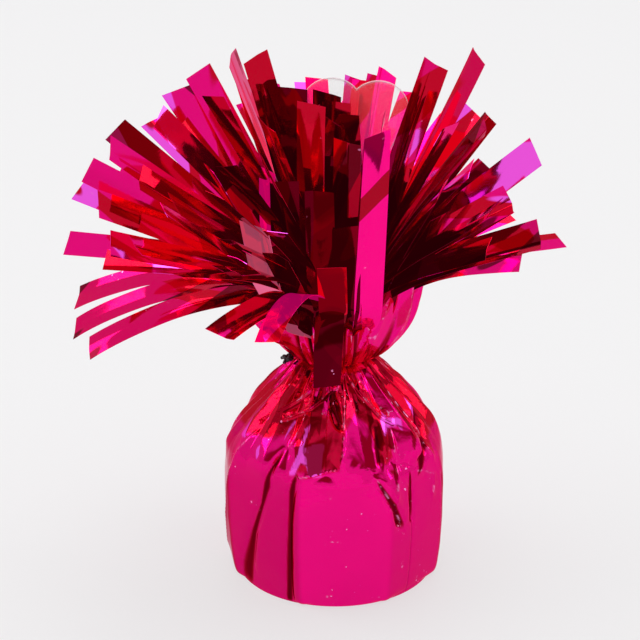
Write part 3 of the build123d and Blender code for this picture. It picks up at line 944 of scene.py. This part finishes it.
def gather_shape():
    """The bunched film above the tie: it opens in deep folds from the neck to an uneven edge, and goes back
    down inside as a cup. Also gives each point's painted shade in the valleys, painted red reflections on
    the flanks and a painted highlight on the crests."""
    around, rows = 560, 60
    azimuth = np.arange(around)[None, :] * 360.0 / around - 180.0
    edge = np.array(GATHER_EDGE)
    wide, tall, soon = (np.interp(azimuth, edge[:, 0], edge[:, k]) for k in (1, 2, 3))
    t = np.linspace(0.0, 1.0, rows)[:, None]
    low, neck, skin_length, cup_depth = 56.9, 9.8, 22.0, 9.0
    start = np.interp(t, (0.0, 0.03, 0.08, 0.16), (7.0, 8.8, 9.6, neck))
    radius = start + (wide - neck) * (1.0 - (1.0 - t) ** soon)
    height = low + (tall - low) * t
    rng = np.random.default_rng(21)
    warp = sum(
        rng.uniform(0.1, 0.35) * np.sin(np.radians(waves * azimuth) + rng.uniform(0.0, 6.3))
        for waves in (1, 2, 3, 4, 7)
    )
    swirl = 0.35 * t * np.sin(np.radians(2.0 * azimuth) + 0.6)
    folds = fold_wave(GATHER_FOLDS * azimuth / 360.0 + warp + swirl) - 0.65
    fine = fold_wave(FINE_FOLDS * azimuth / 360.0 + 2.0 * warp - swirl) - 0.5
    opening = smooth_step(0.05, 1.0, t)
    spread = radius + (0.5 + 3.4 * opening) * folds + (0.5 + 0.3 * opening) * fine
    spread = spread + 0.5 * opening * facets(azimuth, skin_length * t, cells=20, size=7.0, seed=5)
    ragged = np.sin(np.radians(9.0 * azimuth) + 0.4) + 0.7 * np.sin(np.radians(17.0 * azimuth) + 2.0)
    ragged = t**2 * 1.6 * ragged
    skin = round_axis(azimuth, spread, height + ragged)
    dip = np.linspace(0.04, 0.9, 24)[:, None]
    inward = spread[-1] * (1.0 - dip) * (1.0 + 0.2 * dip * fine[-1])
    sunk = skin[-1, :, 2] - cup_depth * dip**0.6 + 1.5 * dip * (1.0 - dip) * folds[-1]
    top = round_axis(azimuth, inward, sunk)
    # Painted shade in valleys, painted red reflections on flanks, painted highlights on crests
    valley = 1.0 - smooth_step(-0.5, -0.25, folds + 0.15 * fine)
    shade = 0.85 * valley * smooth_step(0.0, 0.1, t)
    red = smooth_step(-0.1, -0.02, facets(azimuth, skin_length * t, cells=26, size=9.0, seed=6))
    red = 0.9 * red * (0.4 + 0.6 * (1.0 - t))
    ridge_highlight = 0.8 * smooth_step(0.26, 0.32, folds) * smooth_step(0.1, 0.3, t)
    rest = np.zeros(top.size // 3 + 2)
    marks = {"shade": shade, "red": red, "ridge_highlight": ridge_highlight}
    marks = {name: np.concatenate([values.ravel(), rest]) for name, values in marks.items()}
    return turned(np.concatenate([skin, top])), marks


def strip_shape(strip, rng, width, length, thickness):
    """One strip: a ribbon carried along a path that comes up out of the neck, bends over and runs straight
    to its cut end. Its section is cupped in the neck, has a lengthwise fold, and twists slowly towards the
    tip. Also gives each point's painted shade, which is deep near the neck, its place along and across,
    and the strip's own values for its painted looks."""
    azimuth, lean = strip.azimuth, strip.lean
    reach_share = min(lean / RIM_LEAN, 1.0) if strip.reach is None else strip.reach
    long = length * strip.share * strip.trim
    bend = BEND_SHARE * lean
    roll_a, lean_a = math.radians(strip.roll), math.radians(lean)
    start_azimuth = azimuth - bend * math.sin(roll_a) / math.sin(lean_a)
    ahead = heading(start_azimuth, lean - bend * math.cos(roll_a))
    level = heading(start_azimuth + 90.0, 90.0)
    across = math.cos(roll_a) * level + math.sin(roll_a) * np.cross(ahead, level)
    over = np.cross(across, ahead)
    root = ROOT_RADIUS + (RIM_RADIUS - ROOT_RADIUS) * reach_share
    start_height = RIM_HEIGHT + START_LIFT + abs(across[2])
    origin = heading(start_azimuth, 90.0) * root + np.array([0.0, 0.0, start_height])
    rows, columns = 44, 9
    x = np.linspace(0.0, long, rows)
    curl = rng.normal(0.0, CURL_SPREAD) + strip.curl
    angle = np.radians(bend * np.clip(x / (BEND_END_SHARE * long), 0.0, 1.0) + curl * (x / long) ** 3)
    along = np.cos(angle)[:, None] * ahead + np.sin(angle)[:, None] * over
    step = np.diff(x)[:, None] * (along[1:] + along[:-1]) / 2.0
    path = origin + np.concatenate([np.zeros((1, 3)), np.cumsum(step, axis=0)])
    normal = np.cos(angle)[:, None] * over - np.sin(angle)[:, None] * ahead
    twist = np.radians(strip.turn + rng.normal(0.0, TWIST_SPREAD) * (x / long) ** 1.3)
    side = np.cos(twist)[:, None] * across + np.sin(twist)[:, None] * normal

    low = heading(start_azimuth, 90.0) * min(0.5 * root, STEM_RADIUS)
    low = low + np.array([0.0, 0.0, RIM_HEIGHT - STEM_DEPTH])
    t = np.linspace(0.0, 1.0, 9)[:-1, None]
    reach = np.linalg.norm(origin - low)
    up = np.array([0.0, 0.0, reach])
    stem = (1 - t) ** 2 * (1 + 2 * t) * low + t**2 * (3 - 2 * t) * origin
    stem = stem + t * (1 - t) ** 2 * up - t**2 * (1 - t) * ahead * reach
    path = np.concatenate([stem, path])
    along = np.gradient(path, axis=0)
    along /= np.linalg.norm(along, axis=1, keepdims=True)
    side = np.concatenate([(1 - t) * level + t * across, side])
    normal = np.cross(side, along)
    normal /= np.linalg.norm(normal, axis=1, keepdims=True)
    side = np.cross(along, normal)
    far = np.concatenate([-reach * (1 - t[:, 0]), x]) / long

    v = np.linspace(-0.5, 0.5, columns)[None, :] * width
    cup = (1.5 * np.clip(np.exp(-(far + 0.16) / 0.1), 0.0, 1.0) * 2.0 / width)[:, None] + 1e-4
    flat_v, lift = np.sin(cup * v) / cup, (1.0 - np.cos(cup * v)) / cup
    fold = np.tan(np.radians(rng.normal(0.0, FOLD_SPREAD))) * np.abs(v - rng.uniform(-0.3, 0.3) * width)
    lift = lift + fold * smooth_step(0.05, 0.4, far)[:, None]
    cut = math.tan(math.radians(rng.normal(0.0, CUT_SPREAD))) * v * np.clip(far, 0.0, 1.0)[:, None] ** 10
    middle = path[:, None] + flat_v[..., None] * side[:, None] + lift[..., None] * normal[:, None]
    middle = middle + cut[..., None] * along[:, None]
    faces = np.cross(np.gradient(middle, axis=0), np.gradient(middle, axis=1))
    faces /= np.linalg.norm(faces, axis=-1, keepdims=True)
    out = np.hypot(middle[..., 0], middle[..., 1]) / BURST_RADIUS
    out = np.hypot(out, (middle[..., 2] - RIM_HEIGHT) / BURST_HEIGHT).ravel()
    # Painted shade: a dark strip, and every strip near the neck, is painted darker
    dark = strip.dark or 0.0
    depth = 0.5 if strip.dark is None else (1.0 - dark) * 0.4
    shade = dark + depth * (1.0 - smooth_step(0.3, 0.85, out))
    run, wide = (np.broadcast_to(each, middle.shape[:2]).ravel() for each in (far[:, None], v / width))
    whole = (strip.red, strip.pale, strip.lit, strip.glint, strip.band, rng.random())
    marks = np.stack([shade, run, wide, *(np.full_like(shade, each) for each in whole)])
    return slab(middle, faces, thickness), np.tile(marks, 2)


def tab_shape(thickness):
    """The clear tab: its width follows a stem, straight flanks and two lobes, each row running from side to
    side. Above the lobes' centres the rows close up to the two round tops. Also gives each point's nearness
    to the edge."""
    lobe, spacing, rise, drop, stem, tail = 7.3, 5.4, 63.6, 41.6, 4.0, 6.0
    flank, lean = math.radians(22.0), math.radians(4.0)
    low = np.linspace(-tail, rise, 70)[:, None]
    u = np.sin(np.linspace(-1.0, 1.0, 61) * np.pi / 2.0)[None, :]
    flank_y = rise - lobe * math.sin(flank)
    flank_x = spacing + lobe * math.cos(flank)
    arc = spacing + np.sqrt(np.clip(lobe**2 - (low - rise) ** 2, 0.0, None))
    half = np.where(low < flank_y, np.interp(low, (drop, flank_y), (stem, flank_x)), arc)
    below = np.stack([u * half, low + 0.0 * u], axis=-1)
    wide = (spacing + lobe) * u
    top = np.sqrt(np.clip(lobe**2 - (np.abs(wide) - spacing) ** 2, 0.0, None))
    share = np.sin(np.linspace(0.0, 1.0, 26)[1:, None] * np.pi / 2.0)
    above = np.stack([wide + 0.0 * share, rise + share * top], axis=-1)
    flat = np.concatenate([below, above])
    right = np.array([math.cos(lean), 0.0, -math.sin(lean)])
    up = np.array([math.sin(lean), 0.0, math.cos(lean)])
    middle = flat[..., :1] * right + flat[..., 1:] * up + np.array([0.0, 0.0, TIE_HEIGHT])
    bow = 0.6 * (flat[..., 0] / 13.0) ** 2 * np.clip(flat[..., 1] / rise, 0.0, 1.0)
    middle = middle + bow[..., None] * np.array([0.0, 1.0, 0.0])
    normal = np.broadcast_to(np.array([0.0, -1.0, 0.0]), middle.shape)
    side_gap = (1.0 - np.abs(u)) * np.concatenate([half, np.full(share.shape, spacing + lobe)])
    top_gap = np.concatenate([np.full(below.shape[:2], 9.0), (1.0 - share) * top])
    edge = np.exp(-np.minimum(side_gap, top_gap) / 0.35)
    return slab(middle, normal, thickness), np.tile(edge.ravel(), 2)


def settings_of(context):
    """The three groups of settings."""
    scene = context.scene
    return scene.weight_film, scene.weight_fittings, scene.weight_stage


class WEIGHT_OT_stage(bpy.types.Operator):
    """Sets up the camera, the pale floor and the soft light."""

    bl_idname = "weight.stage"
    bl_label = "Stage"

    def execute(self, context):
        stage = settings_of(context)[2]
        aim = Vector(CAMERA_AIM)
        back = Vector((0.0, -math.cos(stage.elevation), math.sin(stage.elevation)))
        camera = bpy.data.objects.new("camera", bpy.data.cameras.new("camera"))
        camera.location = aim + back * stage.distance
        camera.rotation_euler = (-back).to_track_quat("-Z", "Y").to_euler()
        camera.data.lens = stage.lens
        camera.data.sensor_width = 36.0
        camera.data.clip_start = 0.01
        context.scene.collection.objects.link(camera)
        context.scene.camera = camera

        material, graph, place = new_material("pale_floor")
        tone = graph.noise(place, 3.0)
        dim = tuple(channel * 0.98 for channel in stage.floor_colour)
        colour = graph.mix(tone, solid(dim), solid(stage.floor_colour))
        matt = graph.add("ShaderNodeBsdfPrincipled", {}, {"Base Color": colour, "Roughness": 0.6})
        glow = graph.add("ShaderNodeEmission", {}, {"Color": solid(stage.floor_colour), "Strength": 1.05})
        kinds = ("Is Camera Ray", "Is Glossy Ray", "Is Transmission Ray")
        rays = [graph.add("ShaderNodeLightPath", {}, {}, kind) for kind in kinds]
        seen = rays[0] + rays[1] + rays[2]
        shader = graph.add("ShaderNodeMixShader", {}, {0: seen.step(0.0, 1.0) * 0.7, 1: matt, 2: glow})
        graph.add("ShaderNodeOutputMaterial", {}, {"Surface": shader})
        mesh = bpy.data.meshes.new("floor")
        corners = [(side, *edge) for edge in FLOOR_OUTLINE for side in FLOOR_SIDES]
        mesh.from_pydata(corners, [], [(k, k + 2, k + 3, k + 1) for k in (0, 2, 4)])
        mesh.materials.append(material)
        floor = bpy.data.objects.new("floor", mesh)
        context.scene.collection.objects.link(floor)

        world = bpy.data.worlds.new("studio")
        context.scene.world = world
        graph = Graph(world)
        way = graph.add("ShaderNodeTexCoord", {}, {}, "Generated")
        front, up = (graph.add("ShaderNodeSeparateXYZ", {}, {"Vector": way}, axis) for axis in ("Y", "Z"))
        dark = (0.0 - front).step(0.2, 0.5) * up.step(0.3, 0.45) * (1.0 - up.step(0.72, 0.86))
        tone = graph.mix(dark, solid(SURROUND_COLOUR), solid(DIM_COLOUR))
        shader = graph.add("ShaderNodeBackground", {}, {"Color": tone, "Strength": stage.surround})
        graph.add("ShaderNodeOutputWorld", {}, {"Surface": shader})

        for name, place, size, watts in LAMPS:
            lamp = bpy.data.objects.new(name, bpy.data.lights.new(name, "AREA"))
            lamp.data.shape = "SQUARE"
            lamp.data.size = size
            lamp.data.energy = watts
            lamp.location = place
            way = Vector(LAMP_AIM) - Vector(place)
            lamp.rotation_euler = way.to_track_quat("-Z", "Y").to_euler()
            context.scene.collection.objects.link(lamp)
        context.scene.view_settings.view_transform = "Standard"
        return {"FINISHED"}


class WEIGHT_OT_bag(bpy.types.Operator):
    """Builds the pleated film bag round the plug."""

    bl_idname = "weight.bag"
    bl_label = "Film bag"

    def execute(self, context):
        film = settings_of(context)[0]
        material = film_material("bag_film", film, scuff_share=0.05)
        shape, marks = bag_shape(film.pleat / MM)
        piece = add_piece("film_bag", shape, material, ["foil_bag"], sharp_degrees=70.0)
        add_marks(piece, marks)
        return {"FINISHED"}


class WEIGHT_OT_gather(bpy.types.Operator):
    """Builds the bunched film above the tie."""

    bl_idname = "weight.gather"
    bl_label = "Film gather"

    def execute(self, context):
        film = settings_of(context)[0]
        material = film_material("gather_film", film, scuff_share=0.0)
        shape, marks = gather_shape()
        piece = add_piece("bunched_film", shape, material, ["film_gather"], sharp_degrees=70.0)
        add_marks(piece, marks)
        return {"FINISHED"}


class WEIGHT_OT_fringe(bpy.types.Operator):
    """Builds the fringe, one piece for each tier and side."""

    bl_idname = "weight.fringe"
    bl_label = "Fringe"

    def execute(self, context):
        film = settings_of(context)[0]
        material = film_material(
            "strip_film", film, scuff_share=-0.04, crinkle_scale=110.0, crinkle_height=0.00004, blocks=True
        )
        names = ("shade", "run", "wide", "red", "pale", "lit", "glint", "band", "mark")
        rng = np.random.default_rng(11)
        sizes = (film.strip_width / MM, film.strip_length / MM, film.thickness / MM)
        for tier, rows in STRIPS.items():
            strips = [strip_shape(row, rng, *sizes) for row in rows + FILLERS.get(tier, [])]
            shape = joined([strip for strip, marks in strips])
            piece = add_piece("strips_" + tier, shape, material, ["fringe_" + tier])
            marks = np.concatenate([marks for strip, marks in strips], axis=1)
            add_marks(piece, dict(zip(names, marks)))
        return {"FINISHED"}


class WEIGHT_OT_tie(bpy.types.Operator):
    """Builds the elastic tie and its knot."""

    bl_idname = "weight.tie"
    bl_label = "Tie"

    def execute(self, context):
        material = elastic_material(settings_of(context)[1])
        loop_radius, loop_cord, knot_cord, tail_cord, tail_taper = 7.0, 0.7, 0.55, 0.5, 0.1
        knot_reach, knot_azimuth, knot_scale = 11.9, 192.0, 0.34
        tail_spread, tail_length, tail_drop = 50.0, 2.0, 0.6
        turn = np.linspace(0.0, 4.0 * np.pi, 400)
        reach = loop_radius + 0.25 * np.sin(5.0 * turn) + 0.2 * np.sin(11.0 * turn + 1.0)
        rise = TIE_HEIGHT - 0.5 + turn / turn[-1] + 0.15 * np.sin(3.0 * turn)
        loop = np.stack([reach * np.cos(turn), reach * np.sin(turn), rise], axis=1)
        add_piece("elastic_loop", tube(loop, loop_cord), material, ["neck_tie"])
        t = np.linspace(0.0, 2.0 * np.pi, 120)
        trefoil = np.stack(
            [np.sin(t) + 2.0 * np.sin(2.0 * t), np.cos(t) - 2.0 * np.cos(2.0 * t), -np.sin(3.0 * t)], axis=1
        )
        centre = np.array([*(knot_reach * heading(knot_azimuth, 90.0))[:2], TIE_HEIGHT])
        parts = [tube(trefoil * knot_scale + centre, knot_cord)]
        for way in (knot_azimuth - tail_spread, knot_azimuth + tail_spread):
            t = np.linspace(0.0, 1.0, 16)[:, None]
            tail = centre + tail_length * t * heading(way, 90.0) + np.array([0.0, 0.0, -tail_drop]) * t**2
            parts.append(tube(tail, tail_cord - tail_taper * t[:, 0]))
        add_piece("elastic_knot", joined(parts), material, ["tie_knot"])
        return {"FINISHED"}


class WEIGHT_OT_tab(bpy.types.Operator):
    """Builds the clear tab that the ribbon is tied to."""

    bl_idname = "weight.tab"
    bl_label = "Ribbon tab"

    def execute(self, context):
        fittings = settings_of(context)[1]
        shape, edge = tab_shape(fittings.tab_thickness / MM)
        piece = add_piece("clear_tab", shape, tab_material(fittings), ["ribbon_tab"])
        add_marks(piece, {"edge": edge})
        return {"FINISHED"}


class WEIGHT_OT_plug(bpy.types.Operator):
    """Gives the cast plug inside the bag its cement."""

    bl_idname = "weight.plug"
    bl_label = "Cast plug"

    def execute(self, context):
        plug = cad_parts["weight_core"]
        plug.data.materials.clear()
        plug.data.materials.append(plug_material(settings_of(context)[1]))
        return {"FINISHED"}


OPERATORS = (
    WEIGHT_OT_stage,
    WEIGHT_OT_plug,
    WEIGHT_OT_bag,
    WEIGHT_OT_gather,
    WEIGHT_OT_tie,
    WEIGHT_OT_tab,
    WEIGHT_OT_fringe,
)


class WEIGHT_PT_panel(bpy.types.Panel):
    """Lists the weight's settings and the steps that build it."""

    bl_idname = "WEIGHT_PT_panel"
    bl_label = "Balloon Weight"
    bl_space_type = "VIEW_3D"
    bl_region_type = "UI"
    bl_category = "Balloon Weight"

    def draw(self, context):
        for group in settings_of(context):
            box = self.layout.box()
            for name in group.__annotations__:
                box.prop(group, name)
        for operator in OPERATORS:
            self.layout.operator(operator.bl_idname)


CLASSES = (FilmSettings, FittingSettings, StageSettings, *OPERATORS, WEIGHT_PT_panel)


def register():
    """Registers the classes and hangs the settings on the scene."""
    for item in CLASSES:
        bpy.utils.register_class(item)
    bpy.types.Scene.weight_film = bpy.props.PointerProperty(type=FilmSettings)
    bpy.types.Scene.weight_fittings = bpy.props.PointerProperty(type=FittingSettings)
    bpy.types.Scene.weight_stage = bpy.props.PointerProperty(type=StageSettings)


def unregister():
    """Takes the settings off the scene and unregisters the classes."""
    del bpy.types.Scene.weight_stage
    del bpy.types.Scene.weight_fittings
    del bpy.types.Scene.weight_film
    for item in reversed(CLASSES):
        bpy.utils.unregister_class(item)


def main():
    register()
    bpy.ops.weight.stage()
    bpy.ops.weight.plug()
    bpy.ops.weight.bag()
    bpy.ops.weight.gather()
    bpy.ops.weight.tie()
    bpy.ops.weight.tab()
    bpy.ops.weight.fringe()


if __name__ == "__main__":
    main()
